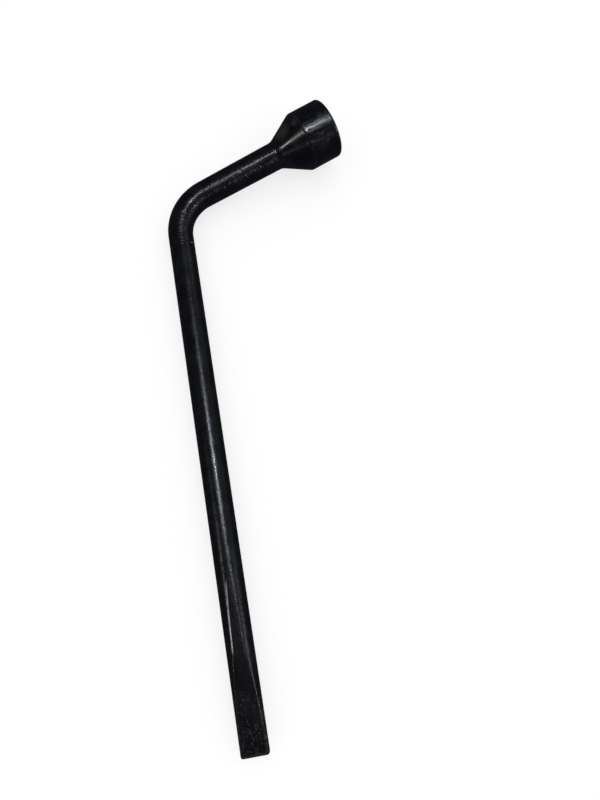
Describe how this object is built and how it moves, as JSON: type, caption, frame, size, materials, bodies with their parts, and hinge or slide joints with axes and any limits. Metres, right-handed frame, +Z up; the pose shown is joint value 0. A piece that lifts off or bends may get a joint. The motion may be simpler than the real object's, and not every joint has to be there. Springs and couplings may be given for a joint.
{
  "type": "lug wrench",
  "caption": "L-shaped lug wrench: a six-point socket head on a short arm, a bent round-bar handle and a flat pry tip, in gloss black enamel.",
  "frame": {"origin": "centre of the socket's mouth", "axes": "the wrench lies at rest on a floor; the handle runs along -Y from the bend to the pry tip, the arm leads from the bend to the socket on the +X side, +Z is up"},
  "size_m": [0.1069, 0.3407, 0.0357],
  "materials": {
    "black_enamel_forged": "gloss black enamel over forged steel",
    "black_enamel_bar": "gloss black enamel over hot-rolled steel bar, scuffed at the pry tip",
    "black_enamel_weld": "gloss black enamel over dressed weld metal"
  },
  "bodies": {
    "root": {"socket_head": "black_enamel_forged", "handle_bar": "black_enamel_bar", "neck_weld": "black_enamel_weld"}
  },
  "joints": []
}
